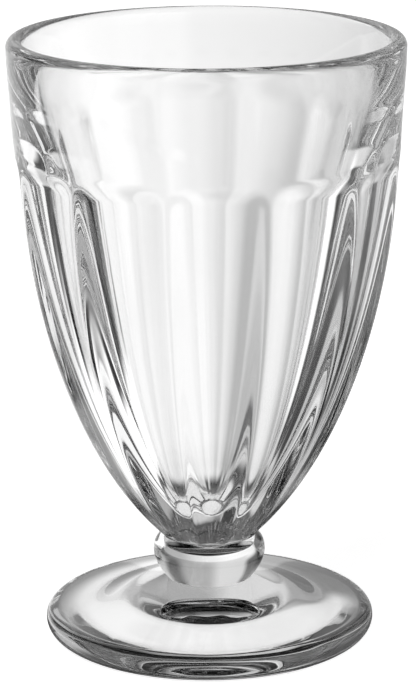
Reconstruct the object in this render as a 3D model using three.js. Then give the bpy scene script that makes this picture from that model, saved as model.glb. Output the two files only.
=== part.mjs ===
// A sundae glass of clear pressed glass: a fluted bowl on a round knop and a broad low foot.
// Millimetres, +Z up. The origin is on the table under the middle of the foot, and one flute faces -Y.

import * as THREE from "three";

// Foot: a round plate that rises to a neck, dished underneath so that it stands on a ring
const FOOT_RADIUS = 39.1;
const FOOT_HEIGHT = 13.5;
const FOOT_EDGE_LEVEL = 3.7; // height of the widest line of the edge
const FOOT_EDGE_UNDERCUT = 4.1; // from the widest line in to the ring it stands on
const FOOT_EDGE_SHOULDER = 3.1; // from the widest line in to the start of the top face
const FOOT_EDGE_RISE = 2.9; // from the widest line up to the start of the top face
const FOOT_TOP_OUTER_PULL = new THREE.Vector2(-9, 1.9); // how the top face leaves the edge
const FOOT_TOP_NECK_PULL = new THREE.Vector2(5.9, -2.9); // how it comes up to the neck
const REST_RING_WIDTH = 4;
const DISH_RISE = 2.8; // from the ring up to the flat middle of the underside
const DISH_FLAT_RADIUS = 15;
const DISH_PULL = 6; // how far the underside runs level at each end of its slope
const NECK_RADIUS = 10.1; // where the foot and the knop meet

// Knop: one bead of glass between the foot and the bowl
const KNOP_RADIUS = 13.25;
const KNOP_HEIGHT = 10.8;
const KNOP_WIDEST_LEVEL = 6.3; // above the neck
const KNOP_LOWER_PULL = new THREE.Vector2(1.2, 1.2); // how its side leaves the neck
const KNOP_FULLNESS = 2.4; // length of the upright stretch above and below the widest line
const KNOP_TOP_PULL = new THREE.Vector2(1.5, -1.5); // how its side comes in under the bowl

// Bowl: a thick tapering cup with hollow flutes below a plain collar
const BOWL_BASE_RADIUS = 11.2;
const FLUTED_HEIGHT = 93.7;
const SHOULDER_RADIUS = 44.8; // over the ridges, at the level where the flutes end
const COLLAR_HEIGHT = 25.5;
const RIM_RADIUS = 46;
const RIM_THICKNESS = 4.1;
const BASE_PULL = new THREE.Vector2(17.5, 16.4); // how the outside leaves the knop
const SHOULDER_PULL = new THREE.Vector2(-1.35, -44); // how it comes up to the shoulder
const FLOOR_THICKNESS = 10.7; // solid glass under the inside of the bowl
const INSIDE_FLOOR_PULL = 14; // how far the inside runs level from its middle
const INSIDE_RIM_PULL = new THREE.Vector2(-13.4, -65.5); // how the inside comes up to the rim

// Flutes: arched hollows round the outside of the bowl, with a rounded ridge between each two
const FLUTE_COUNT = 12;
const FLUTE_DEPTH_TOP = 1.6;
const FLUTE_DEPTH_BASE = 1;
const FLUTE_RUN_OUT = 5; // height over which a flute fades out below its arch
const ARCH_DROP = 6; // from the crown of an arch down to its springing on the ridges
const ARCH_SQUARENESS = 3.2; // 2 is an ellipse, more is nearer a rectangle
const RIDGE_ROUNDING = 0.15; // 0 is a sharp ridge

// Fineness of the facets
const FACETS_PER_FLUTE = 8;
const FLUTED_ROWS = 22;
const ROW_CROWDING = 1.5; // over 1 sets the rows closer together towards the arches
const RIM_ROWS = 6;
const INSIDE_ROWS = 11;
const KNOP_FACETS = 48;
const KNOP_ROWS = 4;
const FOOT_FACETS = 64;
const FOOT_DISH_ROWS = 4;
const FOOT_EDGE_ROWS = 3;
const FOOT_TOP_ROWS = 6;

// Levels, from the table up
const bowlLevel = FOOT_HEIGHT + KNOP_HEIGHT;
const shoulderLevel = bowlLevel + FLUTED_HEIGHT;
const rimLevel = shoulderLevel + COLLAR_HEIGHT;

/** A point of an outline: radius across, height up. */
function at(radius, height) {
  return new THREE.Vector2(radius, height);
}

/** A curve that leaves start by one pull and arrives at end by another. */
function sweep(start, startPull, endPull, end) {
  const leaving = start.clone().add(startPull);
  const arriving = end.clone().add(endPull);
  return new THREE.CubicBezierCurve(start, leaving, arriving, end);
}

/** Points on a part of an ellipse with those half axes, from one count of right angles to another. */
function arc(middle, halfAxes, quarters, rows) {
  const [from, to] = quarters.map((count) => (count * Math.PI) / 2);
  return new THREE.EllipseCurve(middle.x, middle.y, halfAxes.x, halfAxes.y, from, to).getPoints(rows);
}

/** An outline turned about Z. Facets count from -Y towards +X. */
function turned(outline, facets) {
  return new THREE.LatheGeometry(outline, facets).rotateX(Math.PI / 2);
}

/** Clear glass, with a faint grey cast. */
function clearGlass() {
  return new THREE.MeshStandardMaterial({
    color: 0xeef1f1,
    roughness: 0.02,
    metalness: 0,
    transparent: true,
    opacity: 0.4,
  });
}

/** One named piece of the glass. */
function piece(name, geometry) {
  const mesh = new THREE.Mesh(geometry, clearGlass());
  mesh.name = name;
  return mesh;
}

/** The foot, from the middle of its underside out round the edge and in over the top to the neck. */
function makeFoot() {
  const restOuter = FOOT_RADIUS - FOOT_EDGE_UNDERCUT;
  const topOuter = FOOT_RADIUS - FOOT_EDGE_SHOULDER;
  const topLevel = FOOT_EDGE_LEVEL + FOOT_EDGE_RISE;
  const lowerEdge = arc(
    at(restOuter, FOOT_EDGE_LEVEL),
    at(FOOT_EDGE_UNDERCUT, FOOT_EDGE_LEVEL),
    [-1, 0],
    FOOT_EDGE_ROWS,
  );
  const upperEdge = arc(
    at(topOuter, FOOT_EDGE_LEVEL),
    at(FOOT_EDGE_SHOULDER, FOOT_EDGE_RISE),
    [0, 1],
    FOOT_EDGE_ROWS,
  );
  const topEdge = at(topOuter, topLevel);
  const neck = at(NECK_RADIUS, FOOT_HEIGHT);
  const top = sweep(topEdge, FOOT_TOP_OUTER_PULL, FOOT_TOP_NECK_PULL, neck).getPoints(FOOT_TOP_ROWS);
  const dishEdge = at(DISH_FLAT_RADIUS, DISH_RISE);
  const restInner = at(restOuter - REST_RING_WIDTH, 0);
  const dish = sweep(dishEdge, at(DISH_PULL, 0), at(-DISH_PULL, 0), restInner).getPoints(FOOT_DISH_ROWS);
  const outline = [
    at(0, DISH_RISE),
    ...dish,
    ...lowerEdge,
    ...upperEdge.slice(1),
    ...top.slice(1),
    at(0, FOOT_HEIGHT),
  ];
  return piece("foot", turned(outline, FOOT_FACETS));
}

/** The knop, from the neck out to its widest line and in again under the bowl. */
function makeKnop() {
  const neck = at(NECK_RADIUS, FOOT_HEIGHT);
  const widest = at(KNOP_RADIUS, FOOT_HEIGHT + KNOP_WIDEST_LEVEL);
  const top = at(BOWL_BASE_RADIUS, bowlLevel);
  const lower = sweep(neck, KNOP_LOWER_PULL, at(0, -KNOP_FULLNESS), widest).getPoints(KNOP_ROWS);
  const upper = sweep(widest, at(0, KNOP_FULLNESS), KNOP_TOP_PULL, top).getPoints(KNOP_ROWS);
  const outline = [at(0, FOOT_HEIGHT), ...lower, ...upper.slice(1), at(0, bowlLevel)];
  return piece("knop", turned(outline, KNOP_FACETS));
}

/**
 * How far the outside is pressed in at an angle from -Y and a height.
 * Across a flute the hollow is a parabola with its ends eased into round ridges.
 * Upwards it fades out just below an arch, which springs from the ridges on either side.
 */
function fluteDepth(angle, height, ridgeRadius) {
  const turn = (angle / (2 * Math.PI)) * FLUTE_COUNT;
  const fromMiddle = 2 * Math.abs(turn - Math.round(turn)); // 0 in the middle of a flute, 1 on a ridge
  const eased = Math.hypot(1 - fromMiddle, RIDGE_ROUNDING) - RIDGE_ROUNDING;
  const fromRidge = eased / (Math.hypot(1, RIDGE_ROUNDING) - RIDGE_ROUNDING);
  const hollow = 1 - (1 - fromRidge) ** 2;
  const arch = (1 - fromMiddle ** ARCH_SQUARENESS) ** (1 / ARCH_SQUARENESS);
  const archLevel = shoulderLevel - ARCH_DROP * (1 - arch);
  const fade = THREE.MathUtils.smoothstep(archLevel - height, 0, FLUTE_RUN_OUT);
  const share = (ridgeRadius - BOWL_BASE_RADIUS) / (SHOULDER_RADIUS - BOWL_BASE_RADIUS);
  return THREE.MathUtils.lerp(FLUTE_DEPTH_BASE, FLUTE_DEPTH_TOP, share) * hollow * fade;
}

/** Presses the flutes into the first rows of a turned bowl, whose outline has so many points. */
function pressFlutes(geometry, outlinePoints, firstRow, lastRow) {
  const place = geometry.getAttribute("position");
  for (let i = 0; i < place.count; i++) {
    const row = i % outlinePoints;
    if (row < firstRow || row > lastRow) continue;
    const radius = Math.hypot(place.getX(i), place.getY(i));
    const angle = Math.atan2(place.getX(i), -place.getY(i));
    const pressed = 1 - fluteDepth(angle, place.getZ(i), radius) / radius;
    place.setXY(i, place.getX(i) * pressed, place.getY(i) * pressed);
  }
  return geometry;
}

/** The bowl, from the middle of its base up the outside, over the rim and down the inside. */
function makeBowl() {
  const base = at(BOWL_BASE_RADIUS, bowlLevel);
  const shoulder = at(SHOULDER_RADIUS, shoulderLevel);
  const side = sweep(base, BASE_PULL, SHOULDER_PULL, shoulder);
  const fluted = Array.from({ length: FLUTED_ROWS + 1 }, (_, row) =>
    side.getPoint(1 - (1 - row / FLUTED_ROWS) ** ROW_CROWDING),
  );
  const rimRound = RIM_THICKNESS / 2;
  const rim = arc(at(RIM_RADIUS - rimRound, rimLevel - rimRound), at(rimRound, rimRound), [0, 2], RIM_ROWS);
  const floor = at(0, bowlLevel + FLOOR_THICKNESS);
  const inside = sweep(rim.at(-1), INSIDE_RIM_PULL, at(INSIDE_FLOOR_PULL, 0), floor).getPoints(INSIDE_ROWS);
  const outline = [at(0, bowlLevel), ...fluted, ...rim, ...inside.slice(1)];
  const facets = FLUTE_COUNT * FACETS_PER_FLUTE;
  const geometry = pressFlutes(turned(outline, facets), outline.length, 1, fluted.length);
  return piece("bowl", geometry);
}

const sundaeGlass = new THREE.Group();
sundaeGlass.add(makeFoot(), makeKnop(), makeBowl());

export default sundaeGlass;
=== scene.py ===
"""A sundae glass of clear pressed glass, on a white table in soft studio light.

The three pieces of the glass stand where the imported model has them. Sizes are in millimetres
and are turned to metres where a mesh is made.
"""

import logging
import math
from dataclasses import dataclass
from enum import Enum
from typing import Any

import bpy
import numpy as np
from mathutils import Matrix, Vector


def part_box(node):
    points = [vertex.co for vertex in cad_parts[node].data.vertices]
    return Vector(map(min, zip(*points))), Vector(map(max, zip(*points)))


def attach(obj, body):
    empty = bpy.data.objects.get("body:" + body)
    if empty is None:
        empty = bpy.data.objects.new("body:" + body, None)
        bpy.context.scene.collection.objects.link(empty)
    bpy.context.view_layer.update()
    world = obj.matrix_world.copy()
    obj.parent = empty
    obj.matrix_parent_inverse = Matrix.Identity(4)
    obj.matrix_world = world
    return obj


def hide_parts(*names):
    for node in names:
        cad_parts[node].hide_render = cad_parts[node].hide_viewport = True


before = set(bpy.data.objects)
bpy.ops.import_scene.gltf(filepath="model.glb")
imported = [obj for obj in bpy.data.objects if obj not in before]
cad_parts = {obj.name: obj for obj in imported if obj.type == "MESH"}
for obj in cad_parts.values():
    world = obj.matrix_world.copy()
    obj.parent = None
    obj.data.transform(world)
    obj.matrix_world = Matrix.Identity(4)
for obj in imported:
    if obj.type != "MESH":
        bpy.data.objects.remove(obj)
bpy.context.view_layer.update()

MM = 0.001
NECK_RADIUS = 10.1  # where the foot and the knop meet, in millimetres
LOG = logging.getLogger("sundae_glass")


class Body(Enum):
    """The bodies that pieces ride on. Nothing on the glass moves, so there is one."""

    WHOLE = "root"


class Ring(Enum):
    """What closes one end of a turned shell, at its pole."""

    GLASS = 0
    FUSED = 1


# Curves and meshes


def sweep(start: tuple, leaving: tuple, arriving: tuple, end: tuple, steps: np.ndarray) -> np.ndarray:
    """Points of a cubic curve that leaves start by one pull and arrives at end by another.

    Each of the four control points, the two ends and their two handles, is weighted by its share of
    (t + (1 - t)) to the third power.

    Args:
        start: First point, as (radius, height).
        leaving: Pull from the first point to its handle.
        arriving: Pull from the last point to its handle.
        end: Last point.
        steps: Values of t from 0 to 1.

    Returns:
        One (radius, height) row for each step.
    """
    first, last = np.array(start, float), np.array(end, float)
    controls = np.stack([first, first + leaving, last + arriving, last])
    t = steps[:, None]
    shares = np.hstack([(1 - t) ** 3, 3 * t * (1 - t) ** 2, 3 * t**2 * (1 - t), t**3])
    return shares @ controls


def arc(middle: tuple, half_axes: tuple, start_deg: float, end_deg: float, count: int) -> np.ndarray:
    """Points on part of an ellipse: the middle plus half axes times cosine and sine of the angle.

    Args:
        middle: Centre, as (radius, height).
        half_axes: Half axes across and up.
        start_deg: First angle, from straight out, in degrees.
        end_deg: Last angle.
        count: How many points.

    Returns:
        One (radius, height) row for each point.
    """
    angle = np.radians(np.linspace(start_deg, end_deg, count))
    return np.array(middle, float) + np.stack([np.cos(angle), np.sin(angle)], axis=1) * half_axes


def smoothstep(value: np.ndarray) -> np.ndarray:
    """0 up to 0, 1 from 1 on, and 3 t squared less 2 t cubed between."""
    t = np.clip(value, 0, 1)
    return t * t * (3 - 2 * t)


def join(*stretches: np.ndarray) -> np.ndarray:
    """One outline from stretches that each start where the one before ends.

    Args:
        stretches: The stretches, each with a (radius, height) row for each point.

    Returns:
        All their points, with each shared one kept once.
    """
    return np.concatenate([stretches[0], *(stretch[1:] for stretch in stretches[1:])])


def angles(columns: int) -> np.ndarray:
    """Angles round the glass from -Y towards +X, in radians, one for each column of a shell."""
    return np.linspace(0, 2 * np.pi, columns, endpoint=False)[None, :]


def turned_mesh(
    name: str, radius: np.ndarray, height: np.ndarray, ends: tuple[Ring, Ring], finishes: list
) -> bpy.types.Object:
    """Makes a closed mesh of rings about Z, with a fan of triangles to a pole at each end.

    A point of a ring at angle a stands at (r sin a, -r cos a, h). Rings run up the outside, so the
    faces point outwards.

    Args:
        name: Name of the piece.
        radius: Radius of each point in millimetres, a row for each ring.
        height: Height of each point, of the same shape.
        ends: What closes the first and the last ring.
        finishes: Materials, in the order of Ring.

    Returns:
        The new object, at the origin.
    """
    rings, columns = radius.shape
    turn = angles(columns)
    places = np.stack([radius * np.sin(turn), -radius * np.cos(turn), height], axis=-1).reshape(-1, 3)
    poles = np.array([[0, 0, height[0].mean()], [0, 0, height[-1].mean()]])
    index = np.arange(rings * columns).reshape(rings, columns)
    after = np.roll(index, -1, axis=1)
    sides = np.stack([index[:-1], after[:-1], after[1:], index[1:]], axis=-1).reshape(-1, 4)
    first_pole = np.full(columns, rings * columns)
    low_fan = np.stack([first_pole, after[0], index[0]], axis=-1)
    high_fan = np.stack([index[-1], after[-1], first_pole + 1], axis=-1)
    mesh = bpy.data.meshes.new(name)
    vertices = np.concatenate([places, poles]) * MM
    mesh.from_pydata(vertices.tolist(), [], sides.tolist() + low_fan.tolist() + high_fan.tolist())
    slots = np.repeat([Ring.GLASS.value, ends[0].value, ends[1].value], [len(sides), columns, columns])
    mesh.polygons.foreach_set("material_index", slots.astype(np.int32))
    mesh.polygons.foreach_set("use_smooth", slots == Ring.GLASS.value)
    for finish in finishes:
        mesh.materials.append(finish)
    mesh.validate()
    piece = bpy.data.objects.new(name, mesh)
    bpy.context.scene.collection.objects.link(piece)
    return piece


# Nodes and finishes


def linear(hex_colour: str) -> tuple[float, float, float, float]:
    """Turns a colour to linear by the sRGB curve: a straight start, then a power of 2.4.

    Args:
        hex_colour: The colour as # and six hex digits.

    Returns:
        Linear red, green, blue and alpha.
    """
    values = np.array([int(hex_colour[i : i + 2], 16) for i in (1, 3, 5)]) / 255
    bright = np.where(values <= 0.04045, values / 12.92, ((values + 0.055) / 1.055) ** 2.4)
    return (*bright.tolist(), 1.0)


def add_node(
    tree: bpy.types.NodeTree, kind: str, sockets: dict | None = None, **settings: Any
) -> bpy.types.Node:
    """Adds a node, with its settings, and fills its inputs.

    Args:
        tree: The tree to add to.
        kind: Blender's name of the node type.
        sockets: For each input, by name or place, a value or an output to link to it.
        settings: Properties of the node.

    Returns:
        The new node.
    """
    node = tree.nodes.new(kind)
    for key, value in settings.items():
        setattr(node, key, value)
    for key, value in (sockets or {}).items():
        if isinstance(value, bpy.types.NodeSocket):
            tree.links.new(value, node.inputs[key])
        else:
            node.inputs[key].default_value = value
    return node


def empty_material(name: str) -> bpy.types.Material:
    """Makes a material with an empty node tree.

    Args:
        name: Name of the material.

    Returns:
        The new material.
    """
    material = bpy.data.materials.new(name)
    material.use_nodes = True
    material.node_tree.nodes.clear()
    return material


@dataclass(frozen=True)
class ClearGlass:
    """Soda-lime glass, pressed in a polished iron mould and fire-polished.

    It is colourless, bends light strongly and mirrors a little more towards its edges. It takes up a
    little light on the way through, so thick places look darker. The mould leaves its faces not
    quite even.
    """

    name: str = "clear pressed soda-lime glass"
    colour: str = "#FEFEFE"
    ior: float = 1.52
    roughness: float = 0.0
    absorption_per_m: float = 3.0
    unevenness_mm: float = 9.0
    unevenness_height_mm: float = 0.02

    def make(self) -> bpy.types.Material:
        """The material, with the mould's unevenness as a bump on Object coordinates."""
        material = empty_material(self.name)
        tree = material.node_tree
        place = add_node(tree, "ShaderNodeTexCoord")
        uneven = add_node(
            tree,
            "ShaderNodeTexNoise",
            {"Vector": place.outputs["Object"], "Scale": 1 / (self.unevenness_mm * MM), "Detail": 1.0},
        )
        bump = add_node(
            tree,
            "ShaderNodeBump",
            {"Height": uneven.outputs["Fac"], "Strength": 1.0, "Distance": self.unevenness_height_mm * MM},
        )
        shader = add_node(
            tree,
            "ShaderNodeBsdfPrincipled",
            {
                "Base Color": linear(self.colour),
                "Roughness": self.roughness,
                "IOR": self.ior,
                "Transmission Weight": 1.0,
                "Normal": bump.outputs["Normal"],
            },
        )
        add_node(
            tree,
            "ShaderNodeOutputMaterial",
            {"Surface": shader.outputs["BSDF"], "Volume": self.depth_of_tone(tree)},
        )
        return material

    def depth_of_tone(self, tree: bpy.types.NodeTree) -> bpy.types.NodeSocket:
        """Adds the light that the glass takes up along a ray.

        Args:
            tree: The tree to add to.

        Returns:
            The volume, to be linked to the material's output.
        """
        inside = add_node(
            tree,
            "ShaderNodeVolumeAbsorption",
            {"Color": linear("#000000"), "Density": self.absorption_per_m},
        )
        return inside.outputs["Volume"]


@dataclass(frozen=True)
class FusedGlass:
    """Where two pieces were joined hot: glass runs on through the join, so nothing shows there."""

    glass: ClearGlass
    name: str = "fused glass join"

    def make(self) -> bpy.types.Material:
        """The material, which lets every ray pass straight on, with the same glass inside."""
        material = empty_material(self.name)
        tree = material.node_tree
        through = add_node(tree, "ShaderNodeBsdfTransparent")
        add_node(
            tree,
            "ShaderNodeOutputMaterial",
            {"Surface": through.outputs["BSDF"], "Volume": self.glass.depth_of_tone(tree)},
        )
        return material


# The glass


@dataclass(frozen=True)
class Flutes:
    """Arched hollows round the outside of the bowl, with a rounded ridge between each two."""

    count: int = 12
    depth_top: float = 1.6
    depth_base: float = 1.0
    run_out: float = 5.0
    arch_drop: float = 6.0
    arch_squareness: float = 3.2
    ridge_rounding: float = 0.15

    def depth(self, angle: np.ndarray, below: np.ndarray, share: np.ndarray) -> np.ndarray:
        """How far the outside is pressed in.

        Across a flute the hollow is a parabola with its ends eased into round ridges. Upwards it
        fades out below an arch, a rounded rectangle that springs from the ridges on either side.

        Args:
            angle: Angle from -Y, in radians.
            below: Height below the crowns of the arches, in millimetres.
            share: 0 at the base of the bowl and 1 at its shoulder.

        Returns:
            The depth in millimetres.
        """
        turn = angle / (2 * np.pi) * self.count
        from_middle = 2 * np.abs(turn - np.round(turn))
        eased = np.hypot(1 - from_middle, self.ridge_rounding) - self.ridge_rounding
        from_ridge = eased / (math.hypot(1, self.ridge_rounding) - self.ridge_rounding)
        hollow = 1 - (1 - from_ridge) ** 2
        arch = np.clip(1 - from_middle**self.arch_squareness, 0, 1) ** (1 / self.arch_squareness)
        fade = smoothstep((below - self.arch_drop * (1 - arch)) / self.run_out)
        return (self.depth_base + (self.depth_top - self.depth_base) * share) * hollow * fade


@dataclass
class Bowl:
    """The fluted bowl: a thick tapering cup with a plain collar and a rounded rim."""

    name: str = "fluted_bowl"
    node: str = "bowl"
    flutes: Flutes = Flutes()
    base_radius: float = 11.2
    fluted_height: float = 93.7
    shoulder_radius: float = 44.8
    rim_thickness: float = 4.1
    base_pull: tuple[float, float] = (17.5, 16.4)
    shoulder_pull: tuple[float, float] = (-1.35, -44.0)
    collar_pull: float = 12.0
    floor_thickness: float = 10.7
    floor_pull: float = 14.0
    inside_pull: tuple[float, float] = (-13.4, -65.5)
    columns_per_flute: int = 30
    side_rows: int = 96
    arch_rows: int = 44
    arch_zone: float = 14.0
    collar_rows: int = 24
    rim_rows: int = 26
    inside_rows: int = 90

    def __post_init__(self) -> None:
        """Takes the levels and the rim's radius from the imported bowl."""
        low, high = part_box(self.node)
        self.base_level = low.z / MM
        self.rim_level = high.z / MM
        self.rim_radius = high.x / MM
        self.shoulder_level = self.base_level + self.fluted_height

    def columns(self) -> int:
        """Points round each ring."""
        return self.flutes.count * self.columns_per_flute

    def side_steps(self) -> np.ndarray:
        """Steps up the fluted side, closer together in the zone of the arches.

        Near its end a cubic curve climbs three times its last pull for each whole step, so that gives
        the step at which the zone starts.
        """
        arch_start = 1 - self.arch_zone / (3 * -self.shoulder_pull[1])
        plain = np.linspace(0, arch_start, self.side_rows, endpoint=False)
        return np.concatenate([plain, np.linspace(arch_start, 1, self.arch_rows)])

    def side(self) -> np.ndarray:
        """The outline of the fluted side, over the ridges."""
        base = (self.base_radius, self.base_level)
        shoulder = (self.shoulder_radius, self.shoulder_level)
        return sweep(base, self.base_pull, self.shoulder_pull, shoulder, self.side_steps())

    def outline(self) -> tuple[np.ndarray, int]:
        """The whole outline, from the base up the outside, over the rim and down the inside.

        Returns:
            The outline's points, and how many of them are on the fluted side.
        """
        side = self.side()
        half = self.rim_thickness / 2
        middle = (self.rim_radius - half, self.rim_level - half)
        lean = math.degrees(math.atan2(-self.inside_pull[0], -self.inside_pull[1]))
        rim = arc(middle, (half, half), 0, 180 - lean, self.rim_rows)
        slope = self.shoulder_pull[0] / self.shoulder_pull[1]
        collar = sweep(
            tuple(side[-1]),
            (slope * self.collar_pull, self.collar_pull),
            (0, -self.collar_pull / 2),
            tuple(rim[0]),
            np.linspace(0, 1, self.collar_rows),
        )
        floor = (0, self.base_level + self.floor_thickness)
        inside_steps = np.linspace(0, 1, self.inside_rows)
        inside = sweep(tuple(rim[-1]), self.inside_pull, (self.floor_pull, 0), floor, inside_steps)
        return join(side, collar, rim, inside[:-1]), len(side)

    def side_depth(self, side: np.ndarray) -> np.ndarray:
        """Depth of the flutes over rings of the fluted side.

        Args:
            side: The rings' (radius, height) rows, over the ridges.

        Returns:
            The depth in millimetres, a row for each ring.
        """
        below = (self.shoulder_level - side[:, 1])[:, None]
        share = (side[:, 0] - self.base_radius) / (self.shoulder_radius - self.base_radius)
        return self.flutes.depth(angles(self.columns()), below, share[:, None])

    def base_ring(self) -> np.ndarray:
        """Radius round the base, where the bowl is fused to the knop."""
        side = self.side()[:1]
        return side[:, :1] - self.side_depth(side)

    def build(self, finishes: list) -> bpy.types.Object:
        """Makes the bowl's mesh.

        Args:
            finishes: The clear glass and the fused glass.

        Returns:
            The bowl.
        """
        outline, fluted = self.outline()
        radius = np.repeat(outline[:, :1], self.columns(), axis=1)
        height = np.repeat(outline[:, 1:], self.columns(), axis=1)
        radius[:fluted] -= self.side_depth(outline[:fluted])
        return turned_mesh(self.name, radius, height, (Ring.FUSED, Ring.GLASS), finishes)


@dataclass
class Knop:
    """The round bead of glass between the foot and the bowl."""

    bowl: Bowl
    name: str = "round_knop"
    node: str = "knop"
    widest_level: float = 6.3
    lower_pull: tuple[float, float] = (1.2, 1.2)
    fullness: float = 2.4
    top_pull: tuple[float, float] = (1.5, -1.5)
    rows: int = 40

    def __post_init__(self) -> None:
        """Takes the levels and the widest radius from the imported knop."""
        low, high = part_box(self.node)
        self.neck_level = low.z / MM
        self.top_level = high.z / MM
        self.widest_radius = high.x / MM

    def build(self, finishes: list) -> bpy.types.Object:
        """Makes the knop's mesh. Its last ring is the base of the bowl, so that the two meet all round.

        Args:
            finishes: The clear glass and the fused glass.

        Returns:
            The knop.
        """
        steps = np.linspace(0, 1, self.rows)
        neck = (NECK_RADIUS, self.neck_level)
        widest = (self.widest_radius, self.neck_level + self.widest_level)
        top = (self.bowl.base_radius, self.top_level)
        lower = sweep(neck, self.lower_pull, (0, -self.fullness), widest, steps)
        upper = sweep(widest, (0, self.fullness), self.top_pull, top, steps)
        outline = join(lower, upper)
        columns = self.bowl.columns()
        radius = np.concatenate([np.repeat(outline[:, :1], columns, axis=1), self.bowl.base_ring()])
        levels = np.append(outline[:, 1], self.top_level)
        height = np.repeat(levels[:, None], columns, axis=1)
        return turned_mesh(self.name, radius, height, (Ring.FUSED, Ring.FUSED), finishes)


@dataclass
class Foot:
    """The broad low foot, hollow underneath, so that it stands on a ring."""

    name: str = "broad_foot"
    node: str = "foot"
    edge_level: float = 3.7
    edge_undercut: float = 4.1
    edge_shoulder: float = 3.1
    edge_rise: float = 2.9
    top_outer_pull: tuple[float, float] = (-9.0, 1.9)
    top_neck_pull: tuple[float, float] = (5.9, -2.9)
    ring_width: float = 4.0
    dish_rise: float = 2.8
    dish_flat: float = 15.0
    dish_pull: float = 6.0
    first_ring: float = 0.5
    columns: int = 360
    middle_rows: int = 8
    slope_rows: int = 60
    ring_rows: int = 6
    edge_rows: int = 24

    def __post_init__(self) -> None:
        """Takes the radius and the neck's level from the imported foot."""
        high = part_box(self.node)[1]
        self.radius = high.x / MM
        self.neck_level = high.z / MM

    def outline(self) -> np.ndarray:
        """From the middle of the underside out round the edge, and in over the top to the neck."""
        ring_outer = self.radius - self.edge_undercut
        ring_inner = ring_outer - self.ring_width
        dish_edge = (self.dish_flat, self.dish_rise)
        middle = np.linspace((self.first_ring, self.dish_rise), dish_edge, self.middle_rows)
        slope_steps = np.linspace(0, 1, self.slope_rows)
        dish = sweep(dish_edge, (self.dish_pull, 0), (-self.dish_pull, 0), (ring_inner, 0), slope_steps)
        ring = np.linspace((ring_inner, 0), (ring_outer, 0), self.ring_rows)
        lower_axes = (self.edge_undercut, self.edge_level)
        lower = arc((ring_outer, self.edge_level), lower_axes, -90, 0, self.edge_rows)
        upper_axes = (self.edge_shoulder, self.edge_rise)
        top_outer = self.radius - self.edge_shoulder
        upper = arc((top_outer, self.edge_level), upper_axes, 0, 90, self.edge_rows)
        neck = (NECK_RADIUS, self.neck_level)
        top = sweep(tuple(upper[-1]), self.top_outer_pull, self.top_neck_pull, neck, slope_steps)
        return join(middle, dish, ring, lower, upper, top)

    def build(self, finishes: list) -> bpy.types.Object:
        """Makes the foot's mesh.

        Args:
            finishes: The clear glass and the fused glass.

        Returns:
            The foot.
        """
        outline = self.outline()
        radius = np.repeat(outline[:, :1], self.columns, axis=1)
        height = np.repeat(outline[:, 1:], self.columns, axis=1)
        return turned_mesh(self.name, radius, height, (Ring.GLASS, Ring.FUSED), finishes)


@dataclass
class SundaeGlass:
    """The whole glass: foot, knop and bowl, fused where they meet."""

    glass: ClearGlass = ClearGlass()
    slot: str = "clear_glass"

    def build(self) -> None:
        """Makes each piece, in place of its node, and reports it."""
        finishes = [self.glass.make(), FusedGlass(self.glass).make()]
        bowl = Bowl()
        for part in (Foot(), Knop(bowl), bowl):
            piece = part.build(finishes)
            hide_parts(part.node)
            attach(piece, Body.WHOLE.value)
            LOG.info("%s: %d faces", piece.name, len(piece.data.polygons))


# Camera, table and light


@dataclass(frozen=True)
class Camera:
    """The camera, at the photograph's viewing angle."""

    azimuth_deg: float = -3.3
    distance: float = 0.6994
    height: float = 0.259
    pitch_deg: float = 15.115
    roll_deg: float = -0.344
    focal_pixels: float = 3083.4
    frame_height_pixels: float = 690.0
    sensor_mm: float = 36.0

    def place(self) -> bpy.types.Object:
        """Makes the camera and gives it to the scene."""
        data = bpy.data.cameras.new("camera")
        data.sensor_width = self.sensor_mm
        data.lens = self.focal_pixels * self.sensor_mm / self.frame_height_pixels
        camera = bpy.data.objects.new("camera", data)
        bpy.context.scene.collection.objects.link(camera)
        camera.matrix_world = (
            Matrix.Rotation(math.radians(self.azimuth_deg), 4, "Z")
            @ Matrix.Translation((0, -self.distance, self.height))
            @ Matrix.Rotation(math.radians(90 - self.pitch_deg), 4, "X")
            @ Matrix.Rotation(math.radians(self.roll_deg), 4, "Z")
        )
        bpy.context.scene.camera = camera
        return camera


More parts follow.
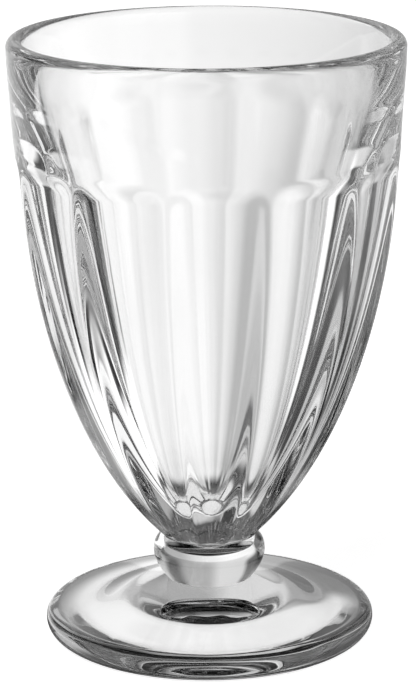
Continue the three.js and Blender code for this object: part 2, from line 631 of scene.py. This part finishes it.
@dataclass(frozen=True)
class Card:
    """One soft-edged patch of painted light or painted shade that only the glass sees.

    Its level is painted into the glow of the table and of the world: lit stretches are painted light
    and dark stretches painted shade. Azimuths are in degrees to the right of straight behind the
    glass, as the camera sees it, and elevations are from the middle of the glass, so the table fills
    those under 0.
    """

    name: str
    azimuth: float
    half_width: float
    low: float
    high: float
    level: float
    softness: float

    def paint(
        self,
        tree: bpy.types.NodeTree,
        azimuth: bpy.types.NodeSocket,
        elevation: bpy.types.NodeSocket,
        under: bpy.types.NodeSocket | float,
    ) -> bpy.types.NodeSocket:
        """Lays the patch over what is there already.

        Args:
            tree: The tree to add to.
            azimuth: Azimuth of the direction looked in, in degrees.
            elevation: Its elevation.
            under: Brightness under the patch.

        Returns:
            The brightness with the patch.
        """
        off = add_node(tree, "ShaderNodeMath", {0: azimuth, 1: self.azimuth}, operation="SUBTRACT")
        near = add_node(tree, "ShaderNodeMath", {0: off.outputs[0], 1: -180.0, 2: 180.0}, operation="WRAP")
        middle = (self.low + self.high) / 2
        rise = add_node(tree, "ShaderNodeMath", {0: elevation, 1: middle}, operation="SUBTRACT")
        share: bpy.types.NodeSocket | float = 1.0
        for side, half in ((near, self.half_width), (rise, (self.high - self.low) / 2)):
            away = add_node(tree, "ShaderNodeMath", {0: side.outputs[0]}, operation="ABSOLUTE")
            inside = add_node(
                tree,
                "ShaderNodeMapRange",
                {
                    "Value": away.outputs[0],
                    "From Min": half + self.softness / 2,
                    "From Max": half - self.softness / 2,
                },
                interpolation_type="SMOOTHSTEP",
            )
            both = add_node(tree, "ShaderNodeMath", {0: share, 1: inside.outputs[0]}, operation="MULTIPLY")
            share = both.outputs[0]
        mix = add_node(tree, "ShaderNodeMix", {"Factor": share, "A": under, "B": self.level})
        return mix.outputs["Result"]


@dataclass
class Studio:
    """A white table in a dim room, with soft lights.

    Only the glass sees the lit and dark patches, painted light and painted shade in the glow of the
    table and the world.
    """

    camera: Camera
    table_radius: float = 6.0
    table_sides: int = 96
    table_gap: float = 0.00005
    table_colour: str = "#F2F2F2"
    table_glow: float = 0.82
    glass_middle: float = 0.07
    room_level: float = 0.0
    lamp_strength: float = 0.9
    lamp_angle_deg: float = 40.0
    lamp_tilt_deg: tuple[float, float] = (28.0, -24.0)
    glass_bounces: int = 32
    glossy_bounces: int = 24
    # Painted light and painted shade for the glass to see, laid in this order: the shadow patches are
    # painted shadows of the glass on the table, the lit, bright and near table patches are painted pools
    # of light on it, the dark patches of the table are painted shade, and the lights, room and backdrop
    # are painted glow.
    painted_patches: tuple[Card, ...] = (
        Card("table", 0, 200, -90, -2, 0.74, 6),
        Card("room", 0, 200, -2, 30, 0.12, 10),
        Card("table behind", 22, 28, -46, -1, 0.54, 14),
        Card("lit table behind fading", -17, 33, -44, 2, 0.8, 14),
        Card("lit table behind", -23, 28, -44, 2, 1.0, 14),
        Card("bright table behind", -30, 22, -44, 2, 1.12, 10),
        Card("painted shade on the table at the left", -70, 23, -44, -17, 0.0, 6),
        Card("lit table left of that", -53, 12, -58, -25, 1.4, 5),
        Card("lit table further left", -75, 22, -58, -33, 1.4, 5),
        Card("painted shade on the table at the right", 57, 14, -44, -19, 0.02, 8),
        Card("near table", 0, 200, -95, -64, 1.0, 6),
        Card("shadow round the foot", 0, 200, -65, -55, 0.1, 6),
        Card("shadow behind", 5, 20, -70, -42, 0.02, 12),
        Card("shadow at the right", 45, 34, -74, -54, 0.12, 16),
        Card("soft light at the right", 106, 35, -38, 8, 1.3, 12),
        Card("upper light at the right", 85, 40, 8, 36, 0.64, 14),
        Card("light in front at the right", 143, 24, 12, 40, 1.6, 14),
        Card("backdrop", -14, 20, -2, 40, 0.78, 10),
        Card("backdrop fading", 10, 14, -2, 38, 0.45, 14),
    )

    def painted_surround(self, tree: bpy.types.NodeTree, direction: bpy.types.NodeSocket) -> bpy.types.NodeSocket:
        """Brightness of the studio in a direction from the middle of the glass: its painted light and
        painted shade.

        Args:
            tree: The tree to add to.
            direction: The direction, of any length.

        Returns:
            The brightness, 1 for white.
        """
        unit = add_node(tree, "ShaderNodeVectorMath", {0: direction}, operation="NORMALIZE")
        axes = add_node(tree, "ShaderNodeSeparateXYZ", {0: unit.outputs[0]})
        turn = add_node(
            tree, "ShaderNodeMath", {0: axes.outputs[0], 1: axes.outputs[1]}, operation="ARCTAN2"
        )
        degrees = add_node(tree, "ShaderNodeMath", {0: turn.outputs[0]}, operation="DEGREES")
        azimuth = add_node(
            tree, "ShaderNodeMath", {0: degrees.outputs[0], 1: self.camera.azimuth_deg}, operation="ADD"
        )
        lift = add_node(tree, "ShaderNodeMath", {0: axes.outputs[2]}, operation="ARCSINE")
        elevation = add_node(tree, "ShaderNodeMath", {0: lift.outputs[0]}, operation="DEGREES")
        level: bpy.types.NodeSocket | float = self.room_level
        for card in self.painted_patches:
            level = card.paint(tree, azimuth.outputs[0], elevation.outputs[0], level)
        return level

    def table(self) -> bpy.types.Object:
        """The white table top, a broad disc just under the foot.

        The camera sees it white, with the glass's soft shadow. The glass sees it glow with the studio's
        painted light and painted shade, among them painted shadows of the glass.
        """
        steps = np.linspace(0, 2 * np.pi, self.table_sides, endpoint=False)
        rim = np.stack([np.cos(steps), np.sin(steps), np.zeros_like(steps)], axis=1) * self.table_radius
        rim[:, 2] = -self.table_gap
        mesh = bpy.data.meshes.new("table_top")
        mesh.from_pydata(rim.tolist(), [], [list(range(len(rim)))])
        table = bpy.data.objects.new("table_top", mesh)
        bpy.context.scene.collection.objects.link(table)
        material = empty_material("white table")
        tree = material.node_tree
        place = add_node(tree, "ShaderNodeNewGeometry")
        direction = add_node(
            tree,
            "ShaderNodeVectorMath",
            {0: place.outputs["Position"], 1: (0, 0, self.glass_middle)},
            operation="SUBTRACT",
        )
        # Painted light and painted shade: for all but camera rays the table glows with the patches'
        # brightness.
        painted_patches = self.painted_surround(tree, direction.outputs[0])
        painted_glow = add_node(tree, "ShaderNodeEmission", {"Strength": painted_patches})
        glow = add_node(tree, "ShaderNodeEmission", {"Strength": self.table_glow})
        paint = add_node(tree, "ShaderNodeBsdfDiffuse", {"Color": linear(self.table_colour)})
        white = add_node(tree, "ShaderNodeAddShader", {0: glow.outputs[0], 1: paint.outputs[0]})
        path = add_node(tree, "ShaderNodeLightPath")
        mix = add_node(
            tree,
            "ShaderNodeMixShader",
            {0: path.outputs["Is Camera Ray"], 1: painted_glow.outputs[0], 2: white.outputs[0]},
        )
        add_node(tree, "ShaderNodeOutputMaterial", {"Surface": mix.outputs[0]})
        mesh.materials.append(material)
        return table

    def world(self) -> None:
        """White for the camera; for the glass, the studio's patches of painted light and painted shade."""
        world = bpy.data.worlds.new("studio")
        world.use_nodes = True
        tree = world.node_tree
        tree.nodes.clear()
        place = add_node(tree, "ShaderNodeTexCoord")
        path = add_node(tree, "ShaderNodeLightPath")
        # For all but camera rays the sky glows with the painted light and painted shade of the patches.
        level = add_node(
            tree,
            "ShaderNodeMix",
            {
                "Factor": path.outputs["Is Camera Ray"],
                "A": self.painted_surround(tree, place.outputs["Generated"]),
                "B": 1.0,
            },
        )
        sky = add_node(
            tree, "ShaderNodeBackground", {"Color": linear("#FFFFFF"), "Strength": level.outputs["Result"]}
        )
        add_node(tree, "ShaderNodeOutputWorld", {"Surface": sky.outputs[0]})
        bpy.context.scene.world = world

    def lamp(self) -> None:
        """One soft lamp over the left shoulder, which lights the table and gives the shadow."""
        data = bpy.data.lights.new("soft lamp", "SUN")
        data.energy = self.lamp_strength
        data.angle = math.radians(self.lamp_angle_deg)
        lamp = bpy.data.objects.new("soft lamp", data)
        lamp.rotation_euler = (*(math.radians(tilt) for tilt in self.lamp_tilt_deg), 0)
        lamp.visible_glossy = False
        lamp.visible_transmission = False
        bpy.context.scene.collection.objects.link(lamp)

    def build(self) -> None:
        """Makes the table, the world and the lamp, and sets how far light is followed through glass."""
        self.table()
        self.world()
        self.lamp()
        scene = bpy.context.scene
        scene.view_settings.view_transform = "Standard"
        scene.cycles.max_bounces = self.glass_bounces
        scene.cycles.transmission_bounces = self.glass_bounces
        scene.cycles.transparent_max_bounces = self.glass_bounces
        scene.cycles.glossy_bounces = self.glossy_bounces


def main() -> None:
    """Builds the glass, the camera and the studio."""
    logging.basicConfig(level=logging.INFO)
    camera = Camera()
    camera.place()
    SundaeGlass().build()
    Studio(camera).build()


if __name__ == "__main__":
    main()
